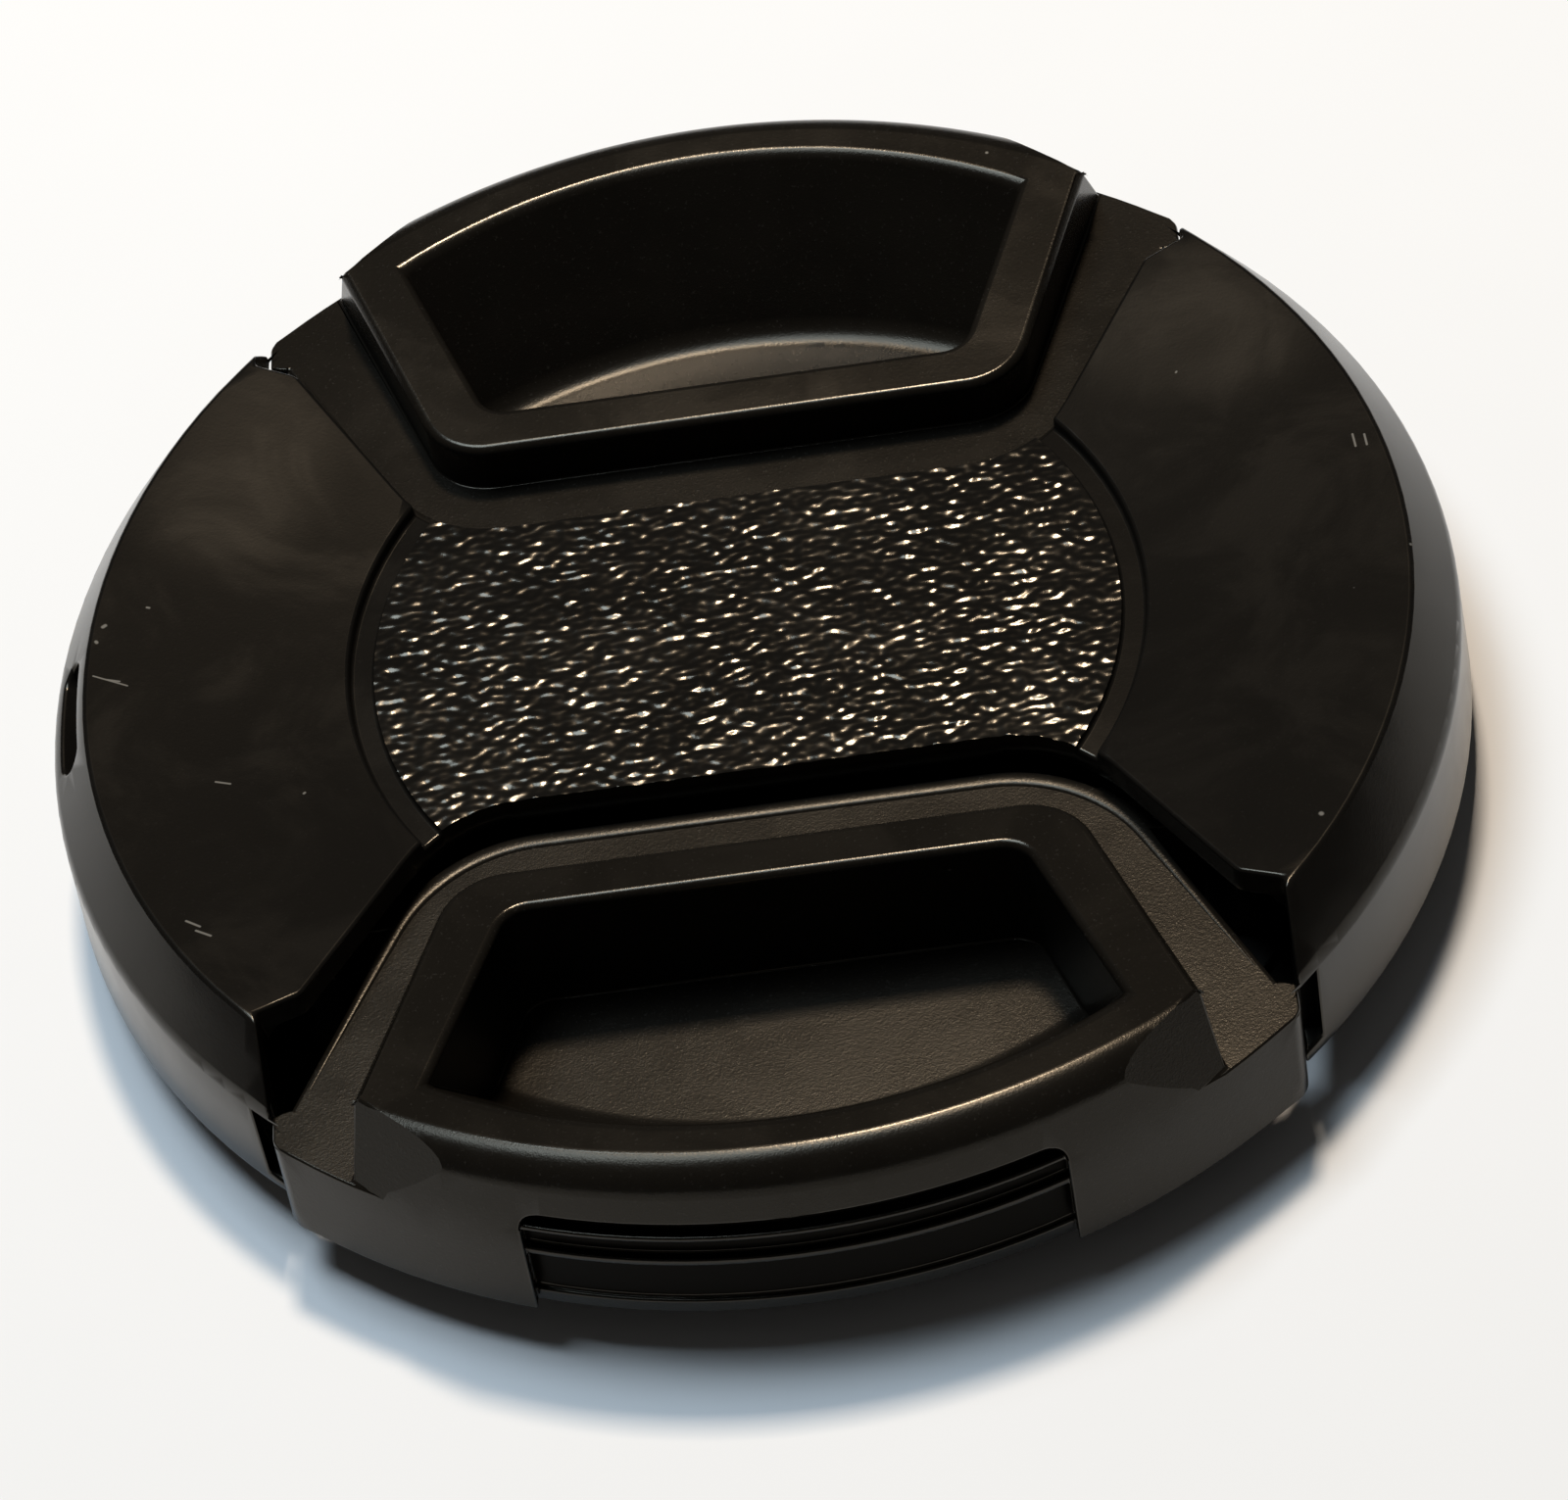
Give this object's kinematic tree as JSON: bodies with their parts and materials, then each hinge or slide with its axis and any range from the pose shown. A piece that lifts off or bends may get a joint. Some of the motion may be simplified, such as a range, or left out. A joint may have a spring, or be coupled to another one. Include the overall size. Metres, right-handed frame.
{
  "type": "camera lens cap",
  "caption": "Round black centre-pinch lens cap with sprung finger grips, a grained centre pad, side lobes and a leash slot, for a screw-in filter ring.",
  "frame": {"origin": "middle of the plane that the skirt rests on, on the axis of the filter thread", "axes": "+Z out of the cap's face, Y along the pinch, with the front grip on the -Y side and the leash slot on the -X side"},
  "size_m": [0.056, 0.0568, 0.0098],
  "materials": {
    "shell_black": "satin black ABS with a grained round pad",
    "grip_black": "fine spark-eroded black ABS",
    "plate_black": "smooth matt black ABS",
    "spring_steel": "drawn spring wire"
  },
  "bodies": {
    "cap": {"front_shell": "shell_black", "back_plate": "plate_black", "front_spring_left": "spring_steel", "front_spring_right": "spring_steel", "rear_spring_left": "spring_steel", "rear_spring_right": "spring_steel"},
    "front_grip": {"front_grip": "grip_black"},
    "rear_grip": {"rear_grip": "grip_black"}
  },
  "joints": [
    {"name": "front_pinch", "type": "slide", "parent": "cap", "child": "front_grip", "axis": [0, 1, 0], "range_m": [0, 0.0016], "stiffness_N_per_m": 1500, "springref_m": -0.002, "deforming": ["front_spring_left", "front_spring_right"]},
    {"name": "rear_pinch", "type": "slide", "parent": "cap", "child": "rear_grip", "axis": [0, -1, 0], "range_m": [0, 0.0016], "stiffness_N_per_m": 1500, "springref_m": -0.002, "deforming": ["rear_spring_left", "rear_spring_right"]}
  ]
}
